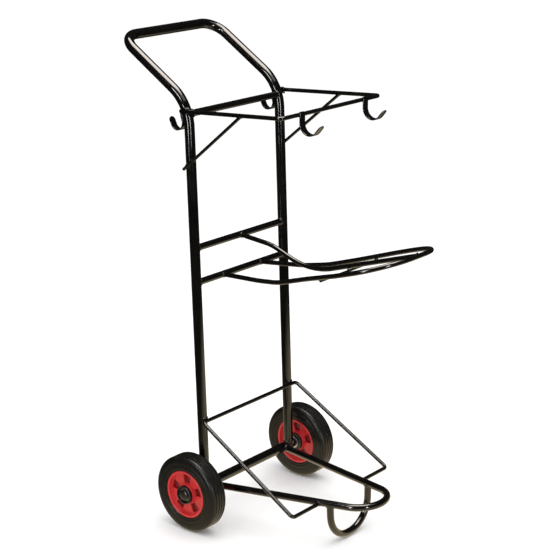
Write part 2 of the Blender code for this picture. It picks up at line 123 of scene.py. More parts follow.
CROSS_ROD_AHEAD = 0.338
CROSS_ROD_HALF = 0.109
BASE_RADIUS = 0.009
BASE_HALF = 0.149
BASE_START_HEIGHT = 0.0975
BASE_TAPER = 0.2138
BASE_SLOPE = 0.0432
BASE_NOSE_RADIUS = 0.0687
LEG_AHEAD = 0.337
LEG_FOOT_HALF = 0.0735
LEG_FOOT_RADIUS = 0.072
LOWER_ROD_RADIUS = 0.005
LOWER_ROD_ALONG = 0.180
LOWER_ROD_HALF = (0.182, 0.190)
LOWER_ROD_AHEAD = 0.311
LOWER_ROD_FRONT_HEIGHT = 0.1097
LOWER_ROD_CORNER_RADIUS = 0.010

# Sizes of a wheel: distances outwards from its middle plane, and radii about the axle
TYRE_HALF = 0.0248
TREAD_GROOVES = (0.0135, 0.0045)
GROOVE_FLOOR = 0.0976
SHOULDER = (0.0090, 0.0120)  # how far it takes across the tread, and down the tyre's side
POCKET_COUNT = 5
POCKET_PHASE = math.radians(90)
POCKET_RADII = (0.0290, 0.0505)
POCKET_HALF_ANGLES = (math.radians(16), math.radians(14.5))
POCKET_FLOOR = 0.0070
POCKET_EDGE = 0.0005
EDGE_STEPS = ((-1, 0.0), (-0.5, 0.15), (0, 0.5), (0.5, 0.85), (1, 1.0))  # across an edge, share of the depth
DISC_HALF = 0.0145
HUB_BORE = 0.0138
AXLE_RADIUS = 0.010
AXLE_END = 0.0285
BUSH_ENDS = (-0.0290, 0.0225)
BUSH_RADIUS = 0.0135
WASHER_RADIUS = 0.0155

COPE_DEPTH = 0.0004  # how far a shaped end goes under the surface of its host
BEAD_PITCH = 0.0026
BEAD_STEP = 0.0006
BEAD_SIDES = 14
BEAD_LIFT = 0.0004  # from a rod's surface to the middle of the bead beside it

BEND_STEP = math.radians(3)
TUBE_SIDES = 36
ROD_SIDES = 28
WHEEL_SEGMENTS = 144

POST_UP = Vector((0, math.sin(POST_LEAN), math.cos(POST_LEAN)))
POST_AHEAD = Vector((0, -math.cos(POST_LEAN), math.sin(POST_LEAN)))
UP = Vector((0, 0, 1))
LATERAL = Vector((1, 0, 0))


# ---------------------------------------------------------------- materials

class Nodes:
    """Short spellings for building a material's node tree round its Principled BSDF."""

    def __init__(self, name):
        self.material = bpy.data.materials.new(name)
        self.material.use_nodes = True
        self.tree = self.material.node_tree
        self.shader = self.tree.nodes["Principled BSDF"]
        self.coordinates = self.add("ShaderNodeTexCoord").outputs["Object"]

    def add(self, kind, **settings):
        node = self.tree.nodes.new(kind)
        for key, value in settings.items():
            setattr(node, key, value)
        return node

    def link(self, source, target):
        self.tree.links.new(source, target)

    def noise(self, scale, detail=3.0, roughness=0.55, stretch=(1, 1, 1)):
        mapping = self.add("ShaderNodeMapping")
        mapping.inputs["Scale"].default_value = stretch
        self.link(self.coordinates, mapping.inputs["Vector"])
        node = self.add("ShaderNodeTexNoise")
        node.inputs["Scale"].default_value = scale
        node.inputs["Detail"].default_value = detail
        node.inputs["Roughness"].default_value = roughness
        self.link(mapping.outputs["Vector"], node.inputs["Vector"])
        return node.outputs["Fac"]

    def ramp(self, value, low, high, start, end):
        """The value from low to high, turned into start to end and held there outside."""
        node = self.add("ShaderNodeMapRange")
        node.inputs["From Min"].default_value = low
        node.inputs["From Max"].default_value = high
        node.inputs["To Min"].default_value = start
        node.inputs["To Max"].default_value = end
        self.link(value, node.inputs["Value"])
        return node.outputs["Result"]

    def colours(self, value, stops):
        node = self.add("ShaderNodeValToRGB")
        elements = node.color_ramp.elements
        while len(elements) < len(stops):
            elements.new(0.5)
        for element, (position, colour) in zip(elements, stops):
            element.position = position
            element.color = (*colour, 1)
        self.link(value, node.inputs["Fac"])
        return node.outputs["Color"]

    def multiply(self, first, second):
        node = self.add("ShaderNodeMath", operation="MULTIPLY")
        self.link(first, node.inputs[0])
        self.link(second, node.inputs[1])
        return node.outputs["Value"]

    def mix(self, amount, first, second):
        node = self.add("ShaderNodeMix", data_type="RGBA")
        self.link(amount, node.inputs["Factor"])
        self.link(first, node.inputs["A"])
        self.link(second, node.inputs["B"])
        return node.outputs["Result"]

    def bump(self, height, distance, strength=1.0, under=None):
        node = self.add("ShaderNodeBump")
        node.inputs["Distance"].default_value = distance
        node.inputs["Strength"].default_value = strength
        self.link(height, node.inputs["Height"])
        if under is not None:
            self.link(under, node.inputs["Normal"])
        return node.outputs["Normal"]

    def finish(self, colour, roughness, normal, metallic=0.0, specular=0.5):
        self.link(colour, self.shader.inputs["Base Color"])
        self.link(roughness, self.shader.inputs["Roughness"])
        self.link(normal, self.shader.inputs["Normal"])
        self.shader.inputs["Metallic"].default_value = metallic
        self.shader.inputs["Specular IOR Level"].default_value = specular
        return self.material


def paint_material(name, ripple, ripple_scale):
    """Gloss black powder coat: a slight orange peel, finer grain, and a little dust dulling it in patches."""
    n = Nodes(name)
    patches = n.noise(9, 4)
    colour = n.colours(patches, [(0.35, (0.0018, 0.0018, 0.0018)), (0.75, (0.0040, 0.0038, 0.0034))])
    roughness = n.ramp(n.noise(38, 5, 0.65), 0.3, 0.75, 0.06, 0.15)
    peel = n.bump(n.noise(ripple_scale, 2), ripple)
    grain = n.bump(n.noise(1900, 2), 0.000004, under=peel)
    return n.finish(colour, roughness, grain, specular=0.5)


def rubber_material():
    """Solid black tyre rubber, greyed by dust in patches and along its tread, with a fine moulded grain."""
    n = Nodes("tyre_rubber")
    axes = n.add("ShaderNodeSeparateXYZ")
    n.link(n.coordinates, axes.inputs["Vector"])
    squares = []
    for axis in ("Y", "Z"):
        squares.append(n.multiply(axes.outputs[axis], axes.outputs[axis]))
    total = n.add("ShaderNodeMath", operation="ADD")
    n.link(squares[0], total.inputs[0])
    n.link(squares[1], total.inputs[1])
    tread = n.ramp(total.outputs["Value"], 0.090 ** 2, 0.0998 ** 2, 0.0, 1.0)
    patches = n.noise(45, 5, 0.65)
    clean = n.colours(patches, [(0.3, (0.0030, 0.0030, 0.0028)), (0.8, (0.0075, 0.0072, 0.0062))])
    dusty = n.colours(patches, [(0.3, (0.0050, 0.0048, 0.0044)), (0.8, (0.0140, 0.0130, 0.0110))])
    colour = n.mix(tread, clean, dusty)
    roughness = n.ramp(n.noise(90, 4), 0.3, 0.7, 0.26, 0.38)
    grain = n.bump(n.noise(1500, 3, 0.6), 0.00003)
    return n.finish(colour, roughness, grain, specular=0.24)


def red_material():
    """Moulded red plastic: soft mottling, faint flow marks, and painted shade where it is sunk deepest."""
    n = Nodes("rim_plastic")
    axes = n.add("ShaderNodeSeparateXYZ")
    n.link(n.coordinates, axes.inputs["Vector"])
    depth = n.add("ShaderNodeMath", operation="ABSOLUTE")
    n.link(axes.outputs["X"], depth.inputs[0])
    # painted shade: deeper into the pockets the colour goes from the face red to a dark red
    sunk = n.ramp(depth.outputs["Value"], 0.0050, 0.0140, 1.0, 0.0)
    mottling = n.noise(70, 4, 0.6)
    face = n.colours(mottling, [(0.3, (0.50, 0.012, 0.016)), (0.75, (0.62, 0.022, 0.024))])
    floor = n.colours(mottling, [(0.3, (0.075, 0.006, 0.007)), (0.75, (0.13, 0.011, 0.011))])
    colour = n.mix(sunk, face, floor)
    roughness = n.ramp(n.noise(160, 4), 0.3, 0.7, 0.26, 0.42)
    flow = n.bump(n.noise(60, 3, stretch=(1, 1, 3)), 0.00012)
    grain = n.bump(n.noise(2200, 2), 0.00002, under=flow)
    return n.finish(colour, roughness, grain, specular=0.5)


def black_plastic_material():
    n = Nodes("hub_plastic")
    mottling = n.noise(110, 4, 0.6)
    colour = n.colours(mottling, [(0.3, (0.0025, 0.0025, 0.0026)), (0.8, (0.0080, 0.0078, 0.0075))])
    roughness = n.ramp(n.noise(240, 4), 0.3, 0.7, 0.24, 0.42)
    grain = n.bump(n.noise(1700, 3), 0.00003)
    return n.finish(colour, roughness, grain, specular=0.5)


def steel_material():
    """Bright turned steel, with fine rings from the tool and a little dulling."""
    n = Nodes("axle_steel")
    mottling = n.noise(130, 4, 0.6)
    colour = n.colours(mottling, [(0.3, (0.42, 0.42, 0.43)), (0.8, (0.66, 0.66, 0.67))])
    roughness = n.ramp(n.noise(300, 4), 0.3, 0.7, 0.20, 0.40)
    rings = n.bump(n.noise(1400, 2, stretch=(3, 0.3, 0.3)), 0.00002)
    return n.finish(colour, roughness, rings, metallic=1.0)


PAINT = paint_material("frame_paint", 0.000035, 110)
WELD_PAINT = paint_material("weld_paint", 0.00012, 420)
RUBBER = rubber_material()
RED = red_material()
BLACK = black_plastic_material()
STEEL = steel_material()


# ---------------------------------------------------------------- paths and meshes

def place(x, ahead, height):
    return Vector((x, AXLE.y - ahead, height))


def on_post(side, along, ahead=0.0):
    foot = place(side * POST_HALF, 0, AXLE.z)
    return foot + POST_UP * along + POST_AHEAD * ahead


def mirror_point(point):
    return Vector((-point.x, point.y, point.z))


def mirrored(points):
    return points + [mirror_point(p) for p in reversed(points)]


def fillet(points, radii, step=BEND_STEP):
    """The points joined by straight runs, with an arc of the given radius at each inner corner."""
    path = [points[0]]
    for before, corner, after, radius in zip(points, points[1:], points[2:], radii):
        back = (before - corner).normalized()
        on = (after - corner).normalized()
        turn = math.pi - back.angle(on)
        centre = corner + (back + on).normalized() * radius / math.cos(turn / 2)
        arm = corner + back * radius * math.tan(turn / 2) - centre
        axis = on.cross(back)
        steps = max(2, math.ceil(turn / step))
        path += [centre + Quaternion(axis, turn * k / steps) @ arm for k in range(steps + 1)]
    path.append(points[-1])
    return path


def headings(path):
    runs = [(b - a).normalized() for a, b in zip(path, path[1:])]
    middle = [(a + b).normalized() for a, b in zip(runs, runs[1:])]
    return [runs[0]] + middle + [runs[-1]]


def frames(path):
    """Each point with two directions square to the path, carried along it without twist."""
    ahead = headings(path)
    across = ahead[0].orthogonal().normalized()
    result = []
    previous = ahead[0]
    for point, heading in zip(path, ahead):
        across = previous.rotation_difference(heading) @ across
        result.append((point, across, heading.cross(across)))
        previous = heading
    return result


def add_ring(mesh, point, u, v, radius, sides):
    angles = [2 * math.pi * k / sides for k in range(sides)]
    return [mesh.verts.new(point + radius * (u * math.cos(a) + v * math.sin(a))) for a in angles]


def bridge(mesh, first, second):
    for k in range(len(first)):
        n = (k + 1) % len(first)
        mesh.faces.new((first[k], first[n], second[n], second[k]))


def reach_to(point, heading, host):
    """How far a point has to go along a heading to come to the surface of the host, a round bar."""
    start, axis, radius = host
    q = point - start
    q -= axis * q.dot(axis)
    h = heading - axis * heading.dot(axis)
    inside = max(0.0, q.dot(h) ** 2 - h.length_squared * (q.length_squared - radius ** 2))
    return (math.sqrt(inside) - q.dot(h)) / h.length_squared


def cope(ring, heading, host):
    """Shapes an end to sit against the host, just under its surface."""
    start, axis, radius = host
    for vertex in ring:
        vertex.co += heading * reach_to(vertex.co, heading, (start, axis, radius - COPE_DEPTH))


def add_bar(mesh, path, radius, sides, wall=None, hosts=(None, None), soft_ends=0.0):
    """A round bar or tube. An end with a host is shaped to it; any other is square, its edge softened."""
    stations = frames(path)
    rings = [add_ring(mesh, p, u, v, radius, sides) for p, u, v in stations]
    start, end = stations[0][0], stations[-1][0]
    ahead = headings(path)
    if hosts[0]:
        cope(rings[0], ahead[0], hosts[0])
    if hosts[1]:
        cope(rings[-1], -ahead[-1], hosts[1])
    for first, second in zip(rings, rings[1:]):
        bridge(mesh, first, second)
    if wall:
        inner = [add_ring(mesh, p, u, v, radius - wall, sides) for p, u, v in stations]
        if hosts[0]:
            cope(inner[0], ahead[0], hosts[0])
        if hosts[1]:
            cope(inner[-1], -ahead[-1], hosts[1])
        for first, second in zip(inner, inner[1:]):
            bridge(mesh, first, second)
        bridge(mesh, rings[0], inner[0])
        bridge(mesh, rings[-1], inner[-1])
        return
    ends = ((rings[0], start, -ahead[0], hosts[0]), (rings[-1], end, ahead[-1], hosts[1]))
    for ring, point, out, host in ends:
        last = ring
        if not host and soft_ends:
            for turn in (30, 60, 90):
                a = math.radians(turn)
                near = radius - soft_ends * (1 - math.cos(a))
                shift = out * soft_ends * math.sin(a)
                inner = [mesh.verts.new(point + (v.co - point) * near / radius + shift) for v in ring]
                bridge(mesh, last, inner)
                last = inner
        mesh.faces.new(last)


def add_turning(mesh, profile, segments):
    """A closed profile of (outwards, radius) points turned about the local X axis."""
    angles = [2 * math.pi * k / segments for k in range(segments)]
    rings = [[mesh.verts.new((out, r * math.cos(a), r * math.sin(a))) for a in angles] for out, r in profile]
    for first, second in zip(rings, rings[1:] + rings[:1]):
        bridge(mesh, first, second)


def make_piece(name, mesh, material, body, nodes=(), origin=Vector(), turn=0.0, sharp=38):
    """An object from the mesh, riding on its body and standing for its CAD nodes."""
    bmesh.ops.recalc_face_normals(mesh, faces=mesh.faces)
    data = bpy.data.meshes.new(name)
    mesh.to_mesh(data)
    mesh.free()
    data.shade_smooth()
    data.set_sharp_from_angle(angle=math.radians(sharp))
    data.materials.append(material)
    piece = bpy.data.objects.new(name, data)
    piece.location = origin
    piece.rotation_euler.z = turn
    bpy.context.scene.collection.objects.link(piece)
    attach(piece, body)
    if nodes:
        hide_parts(*nodes)


def bar(name, node, path, radius, sides=TUBE_SIDES, wall=None, hosts=(None, None), soft_ends=0.0008):
    mesh = bmesh.new()
    add_bar(mesh, path, radius, sides, wall, hosts, soft_ends)
    make_piece(name, mesh, PAINT, "frame", [node])


# ---------------------------------------------------------------- welds

def bead_radius(size, distance, pitch, phase):
    """The bead's radius: overlapping scallops a pitch apart, and a slow swell."""
    scallop = abs(math.sin(math.pi * distance / pitch))
    swell = math.sin(distance * 190 + phase) + 0.6 * math.sin(distance * 430 + 2 * phase)
    return size * (0.90 + 0.13 * scallop + 0.09 * swell)


def add_round_bead(mesh, point, heading, radius, host, size):
    """A weld bead all the way round the end of a bar, where it meets its host."""
    u = heading.orthogonal().normalized()
    v = heading.cross(u)
    count = max(48, int(2 * math.pi * radius / BEAD_STEP))
    curve = []
    for k in range(count):
        a = 2 * math.pi * k / count
        out = u * math.cos(a) + v * math.sin(a)
        start = point + out * radius
        curve.append((start + heading * reach_to(start, heading, host), out))
    around = sum((curve[k][0] - curve[k - 1][0]).length for k in range(count))
    pitch = around / round(around / BEAD_PITCH)
    phase = random.uniform(0, 2 * math.pi)
    rings = []
    distance = 0.0
    for k, (middle, out) in enumerate(curve):
        along = (curve[(k + 1) % count][0] - curve[k - 1][0]).normalized()
        across = (out - along * out.dot(along)).normalized()
        fade = min(1.0, k / 6, (count - k) / 6)
        thick = size + (bead_radius(size, distance, pitch, phase) - size) * fade
        rings.append(add_ring(mesh, middle, across, along.cross(across), thick, BEAD_SIDES))
        distance += (curve[(k + 1) % count][0] - middle).length
    for first, second in zip(rings, rings[1:] + rings[:1]):
        bridge(mesh, first, second)


def add_short_bead(mesh, path, size):
    """A weld bead with rounded ends along an open path."""
    length = sum((b - a).length for a, b in zip(path, path[1:]))
    steps = max(12, int(length / BEAD_STEP))
    lengths = [0.0]
    for a, b in zip(path, path[1:]):
        lengths.append(lengths[-1] + (b - a).length)
    points = []
    for k in range(steps + 1):
        goal = length * k / steps
        n = min(len(path) - 2, max(i for i, d in enumerate(lengths) if d <= goal + 1e-9))
        share = (goal - lengths[n]) / (lengths[n + 1] - lengths[n])
        points.append(path[n].lerp(path[n + 1], share))
    phase = random.uniform(0, 2 * math.pi)
    rings = []
    for k, (point, u, v) in enumerate(frames(points)):
        distance = length * k / steps
        end = min(distance, length - distance) / size
        rounding = math.sqrt(max(0.02, 1 - max(0.0, 1 - end) ** 2))
        thick = bead_radius(size, distance, BEAD_PITCH, phase) * rounding
        rings.append(add_ring(mesh, point, u, v, thick, BEAD_SIDES))
    for first, second in zip(rings, rings[1:]):
        bridge(mesh, first, second)
    mesh.faces.new(rings[0])
    mesh.faces.new(rings[-1])


def over_bar(middle, along, outwards, radius, half):
    """A path over a round bar's surface, from half before the middle to half after it, square to the bar."""
    angles = [half / radius * k / 6 for k in range(-6, 7)]
    centre = middle - outwards * radius
    return [centre + (outwards * math.cos(a) + along * math.sin(a)) * radius for a in angles]


def weld(name, round_beads=(), short_beads=()):
    mesh = bmesh.new()
    for point, heading, radius, host, size in round_beads:
        add_round_bead(mesh, point, heading, radius, host, size)
    for path, size in short_beads:
        add_short_bead(mesh, path, size)
    make_piece(name, mesh, WELD_PAINT, "frame", sharp=75)


# ---------------------------------------------------------------- frame

def axle_host():
    return Vector((0, AXLE.y, AXLE.z)), LATERAL, AXLE_TUBE_RADIUS


def post_host(side):
    return on_post(side, 0), POST_UP, MAIN_RADIUS


def crossbar_host(name):
    middle = on_post(LEFT, CROSSBARS[name])
    middle.x = 0
    return middle, LATERAL, CROSSBAR_RADIUS


def build_posts():
    foot = on_post(RIGHT, 0)
    bend = on_post(RIGHT, POST_BEND)
    grip = bend + Vector((0, math.cos(ARM_RISE), math.sin(ARM_RISE))) * ARM_LENGTH
    radii = [POST_BEND_RADIUS, GRIP_CORNER_RADIUS, GRIP_CORNER_RADIUS, POST_BEND_RADIUS]
    path = fillet(mirrored([foot, bend, grip]), radii)
    bar("main_frame", "main_frame_tube", path, MAIN_RADIUS, 48, MAIN_WALL, (axle_host(), axle_host()))

    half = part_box("axle_tube")[1].x
    ends = [Vector((x, AXLE.y, AXLE.z)) for x in (-half, half)]
    bar("axle_sleeve", "axle_tube", ends, AXLE_TUBE_RADIUS, 48, AXLE_TUBE_WALL)

    for name, along in CROSSBARS.items():
        path = [on_post(side, along) for side in (RIGHT, LEFT)]
        hosts = (post_host(RIGHT), post_host(LEFT))
        bar(name + "_bar", name, path, CROSSBAR_RADIUS, 40, MAIN_WALL, hosts)
    for word, side in SIDES.items():
        weld(word + "_post_foot_weld", [(on_post(side, 0), POST_UP, MAIN_RADIUS, axle_host(), 0.0026)])
        for name, along in CROSSBARS.items():
            inwards = LATERAL * -side
            bead = (on_post(side, along), inwards, CROSSBAR_RADIUS, post_host(side), 0.0023)
            weld(f"{word}_{name}_weld", [bead])


def rack_point(side, reach):
    start = on_post(side, RACK_ALONG)
    start.x += side * (MAIN_RADIUS + RACK_RADIUS + GAP)
    return start + Vector((0, -1, math.tan(RACK_PITCH))) * reach


def build_rack():
    points = mirrored([rack_point(RIGHT, -RACK_TAIL), rack_point(RIGHT, RACK_REACH)])
    bar("rack_rod", "top_rack_rod", fillet(points, [RACK_CORNER_RADIUS] * 2), RACK_RADIUS, ROD_SIDES)
    for word, side in SIDES.items():
        outwards = LATERAL * side
        along = (rack_point(side, 1) - rack_point(side, 0)).normalized()
        foot = on_post(side, BRACE_ALONG)
        foot.x += side * (MAIN_RADIUS + BRACE_RADIUS + GAP)
        head = rack_point(side, BRACE_REACH)
        down = (foot - head).normalized()
        rod = (head, along, RACK_RADIUS)
        path = [foot + down * BRACE_TAIL, head]
        bar(word + "_brace", word + "_rack_brace", path, BRACE_RADIUS, 24, hosts=(None, rod))

        contact = on_post(side, RACK_ALONG) + outwards * MAIN_RADIUS
        rack_beads = []
        for sign in (1, -1):
            start = contact + POST_UP * sign * (RACK_RADIUS + BEAD_LIFT)
            rack_beads.append((over_bar(start, POST_AHEAD, outwards, MAIN_RADIUS, 0.0120), 0.0027))
        weld(word + "_rack_weld", short_beads=rack_beads)
        contact = on_post(side, BRACE_ALONG) + outwards * MAIN_RADIUS
        square = down.cross(outwards).normalized()
        foot_beads = []
        for sign in (1, -1):
            start = contact + square * sign * (BRACE_RADIUS + 0.0003) + POST_UP * 0.001
            foot_beads.append(([start - down * 0.006, start, start + down * 0.006], 0.0020))
        weld(word + "_brace_weld", [(head, down, BRACE_RADIUS, rod, 0.0014)], foot_beads)


# ---------------------------------------------------------------- strip hooks

def hook_line(lean, shank, radius, turn, tip):
    """Points along a hook as (outwards, up, heading, half-width), from its top end round to its tip."""
    heading = -math.pi / 2 - lean
    half = HOOK_WIDTH / 2
    full, narrowing = HOOK_TOP
    stations = []
    for share in (0.0, full, 0.7, 1.0):
        wide = half - narrowing * (1 - share / full) ** 2 if share < full else half
        out = shank * share * math.cos(heading)
        up = shank * share * math.sin(heading)
        stations.append((out, up, heading, wide))
    out, up = stations[-1][:2]
    centre = (out - radius * math.sin(heading), up + radius * math.cos(heading))
    steps = math.ceil(turn / math.radians(4))
    for k in range(1, steps + 1):
        angle = heading + turn * k / steps
        out = centre[0] + radius * math.sin(angle)
        up = centre[1] - radius * math.cos(angle)
        stations.append((out, up, angle, half))
    out, up = stations[-1][:2]
    heading += turn
    for angle in range(0, 90, 6):
        a = math.radians(angle)
        reach = tip - half + half * math.sin(a)
        ahead = out + reach * math.cos(heading)
        above = up + reach * math.sin(heading)
        stations.append((ahead, above, heading, half * math.cos(a)))
    return stations


def add_strip(mesh, shape, outwards):
    """A bent strip with rounded edges. Its origin is the middle of its top end."""
    rings = []
    thick = HOOK_THICKNESS / 2
    for out, up, heading, half in hook_line(*shape):
        middle = Vector((0, out * outwards, up))
        normal = Vector((0, -math.sin(heading) * outwards, math.cos(heading)))
        round_off = min(HOOK_EDGE, half * 0.9)
        ring = []
        for x_sign, n_sign, first in ((1, 1, 0), (-1, 1, 90), (-1, -1, 180), (1, -1, 270)):
            for angle in (0, 22.5, 45, 67.5, 90):
                a = math.radians(first + angle)
                x = x_sign * (half - round_off) + round_off * math.cos(a)
                n = n_sign * (thick - HOOK_EDGE) + HOOK_EDGE * math.sin(a)
                ring.append(mesh.verts.new(middle + LATERAL * x + normal * n))
        rings.append(ring)
    for first, second in zip(rings, rings[1:]):
        bridge(mesh, first, second)
    mesh.faces.new(rings[0])
    mesh.faces.new(rings[-1])


def build_hooks():
    rod = rack_point(RIGHT, RACK_REACH)
    front_y = rod.y - RACK_RADIUS - GAP - HOOK_THICKNESS / 2
    slide = Vector((0, -math.sin(REAR_HOOK[0]), -math.cos(REAR_HOOK[0])))
    for word, side in SIDES.items():
        top = Vector((side * FRONT_HOOK_OFFSET, front_y, rod.z + RACK_RADIUS))
        mesh = bmesh.new()
        add_strip(mesh, FRONT_HOOK, -1)
        make_piece(word + "_front_strip", mesh, PAINT, "frame", [word + "_front_hook"], top, sharp=50)
        beads = []
        for height in (0.0008, -2 * RACK_RADIUS - 0.0002):
            line = [top + Vector((x, 0.0022, height)) for x in (-0.0078, 0, 0.0078)]
            beads.append((line, 0.0021))
        weld(word + "_front_hook_weld", short_beads=beads)

        top = place(side * POST_HALF, *REAR_HOOK_TOP)
        mesh = bmesh.new()
        add_strip(mesh, REAR_HOOK, 1)
        make_piece(word + "_rear_strip", mesh, PAINT, "frame", [word + "_rear_hook"], top, sharp=50)
        beads = []
        for x in (-0.0082, 0.0082):
            start = top + Vector((x, -0.0033, -0.001))
            beads.append(([start, start + slide * 0.008, start + slide * 0.016], 0.0024))
        weld(word + "_rear_hook_weld", short_beads=beads)


# ---------------------------------------------------------------- saddle cradle

def on_cradle(x, ahead):
    return place(x, ahead, CRADLE_NOSE_HEIGHT - CRADLE_RISE * (CRADLE_NOSE - ahead))


def build_cradle():
    start = on_post(RIGHT, CROSSBARS["lower_crossbar"])
    start.x = -CRADLE_START_HALF
    slope = [on_cradle(-half, ahead) for half, ahead in CRADLE_SIDE]
    points = [start, place(*CRADLE_HEEL)] + slope + [on_cradle(-CRADLE_HALF, CRADLE_NOSE)]
    bends = [CRADLE_BEND_RADIUS] * 4 + [CRADLE_CORNER_RADIUS]
    loop = fillet(mirrored(points), bends + bends[::-1])
    lower = crossbar_host("lower_crossbar")
    bar("cradle_loop", "saddle_loop_rod", loop, CRADLE_RADIUS, 32, hosts=(lower, lower))

    upper = crossbar_host("upper_crossbar")
    lift = UP * CENTRE_ROD_LIFT
    nose = on_cradle(0, CRADLE_NOSE) + lift
    nose_host = (on_cradle(0, CRADLE_NOSE), LATERAL, CRADLE_RADIUS)
    points = [upper[0], place(*CENTRE_ROD_SHOULDER), on_cradle(0, CENTRE_ROD_VALLEY) + lift, nose]
    middle = fillet(points, CENTRE_ROD_BENDS)
    bar("cradle_centre", "saddle_centre_rod", middle, CRADLE_RADIUS, 32, hosts=(upper, nose_host))

    lowest = (CRADLE_RADIUS + CROSS_ROD_RADIUS + GAP) * math.hypot(1, CRADLE_RISE)
    ends = [on_cradle(side * CROSS_ROD_HALF, CROSS_ROD_AHEAD) - UP * lowest for side in (RIGHT, LEFT)]
    bar("cradle_cross_rod", "saddle_cross_rod", ends, CROSS_ROD_RADIUS, 20, soft_ends=0.0006)

    ahead = headings(loop)
    beads = [(loop[0], ahead[0], CRADLE_RADIUS, lower, 0.0021)]
    beads.append((loop[-1], -ahead[-1], CRADLE_RADIUS, lower, 0.0021))
    weld("cradle_heel_weld", beads)
    ahead = headings(middle)
    weld("cradle_centre_weld", [(middle[0], ahead[0], CRADLE_RADIUS, upper, 0.0021)])
    weld("cradle_nose_weld", [(middle[-1], -ahead[-1], CRADLE_RADIUS, nose_host, 0.0017)])
    slope_back = Vector((0, 1, -CRADLE_RISE)).normalized()
    beads = []
    for x in (-0.1085, 0.0, 0.1085):
        touch = on_cradle(x, CROSS_ROD_AHEAD) - UP * lowest + UP * CROSS_ROD_RADIUS
        for sign in (1, -1):
            start = touch + slope_back * sign * 0.0026
            beads.append(([start - LATERAL * 0.0035, start, start + LATERAL * 0.0035], 0.0016))
    weld("cradle_cross_weld", short_beads=beads)


# ---------------------------------------------------------------- base

def on_base(side, ahead):
    return place(side * (BASE_HALF - BASE_TAPER * ahead), ahead, BASE_START_HEIGHT + BASE_SLOPE * ahead)


def rail_host(side):
    start = on_base(side, 0)
    return start, (on_base(side, 1) - start).normalized(), BASE_RADIUS


def build_base():
    corners = [on_base(RIGHT, 0), on_base(RIGHT, BASE_HALF / BASE_TAPER), on_base(LEFT, 0)]
    path = fillet(corners, [BASE_NOSE_RADIUS])
    bar("base_loop", "base_loop_tube", path, BASE_RADIUS, 40, MAIN_WALL, (axle_host(), axle_host()))

    top = on_base(RIGHT, LEG_AHEAD)
    foot = place(-LEG_FOOT_HALF, LEG_AHEAD, BASE_RADIUS)
    leg = fillet(mirrored([top, foot]), [LEG_FOOT_RADIUS] * 2)
    rails = (rail_host(RIGHT), rail_host(LEFT))
    bar("front_leg", "front_leg_tube", leg, BASE_RADIUS, 40, MAIN_WALL, rails)

    rear_half, front_half = LOWER_ROD_HALF
    rear = on_post(RIGHT, LOWER_ROD_ALONG, MAIN_RADIUS + LOWER_ROD_RADIUS + GAP)
    rear.x = -rear_half
    front = place(-front_half, LOWER_ROD_AHEAD, LOWER_ROD_FRONT_HEIGHT)
    stub = on_base(RIGHT, LOWER_ROD_AHEAD)
    stub.z = LOWER_ROD_FRONT_HEIGHT
    lower = fillet(mirrored([stub, front, rear]), [LOWER_ROD_CORNER_RADIUS] * 4)
    bar("lower_rod", "lower_frame_rod", lower, LOWER_ROD_RADIUS, ROD_SIDES, hosts=rails)

    for word, side in SIDES.items():
        host = rail_host(side)
        rail_start, rail_heading, _ = host
        leg_top = leg[0] if side == RIGHT else leg[-1]
        stub_end = lower[0] if side == RIGHT else lower[-1]
        weld(word + "_rail_weld", [(rail_start, rail_heading, BASE_RADIUS, axle_host(), 0.0024)])
        weld(word + "_leg_weld", [(leg_top, -UP, BASE_RADIUS, host, 0.0023)])
        weld(word + "_stub_weld", [(stub_end, LATERAL * side, LOWER_ROD_RADIUS, host, 0.0019)])
        contact = on_post(side, LOWER_ROD_ALONG, MAIN_RADIUS)
        beads = []
        for sign in (1, -1):
            start = contact + POST_UP * sign * (LOWER_ROD_RADIUS + BEAD_LIFT)
            beads.append((over_bar(start, LATERAL, POST_AHEAD, MAIN_RADIUS, 0.0090), 0.0026))
        weld(word + "_lower_rod_weld", short_beads=beads)


# ---------------------------------------------------------------- wheels

def profile(points, radii, step=math.radians(15)):
    """A profile of (outwards, radius) points with its corners rounded."""
    rounded = fillet([Vector((*p, 0)) for p in points], radii, step)
    return [(p.x, p.y) for p in rounded]


def both_sides(half):
    return half + [(-out, radius) for out, radius in reversed(half)]


def tyre_profile():
    flange = 0.0623
    side = [
        (0.0190, 0.0563), (0.0190, flange), (0.0226, flange), (0.0242, 0.0640), (0.0244, 0.0700),
        (0.0251, 0.0706), (0.0251, 0.0714), (0.0244, 0.0720), (0.0245, 0.0820), (0.0253, 0.0826),
        (0.0253, 0.0838), (TYRE_HALF, 0.0844), (TYRE_HALF, 0.0848),
    ]
    radii = [0.0002, 0.0002, 0.0008, 0.0030, 0.0003, 0.0002, 0.0002, 0.0003, 0.0003, 0.0003, 0.0003, 0.0002]
    half = profile(side, radii)
    across, down = SHOULDER
    for angle in range(4, 90, 6):
        a = math.radians(angle)
        half.append((TYRE_HALF - across * (1 - math.cos(a)), WHEEL_RADIUS - down * (1 - math.sin(a))))
    for middle in TREAD_GROOVES:
        points = [(middle + offset, WHEEL_RADIUS) for offset in (0.0024, 0.0016)]
        points += [(middle + offset, GROOVE_FLOOR) for offset in (0.0009, -0.0009)]
        points += [(middle + offset, WHEEL_RADIUS) for offset in (-0.0016, -0.0024)]
        half += profile(points, [0.0004, 0.0004, 0.0004, 0.0004], math.radians(20))
    return both_sides(half)


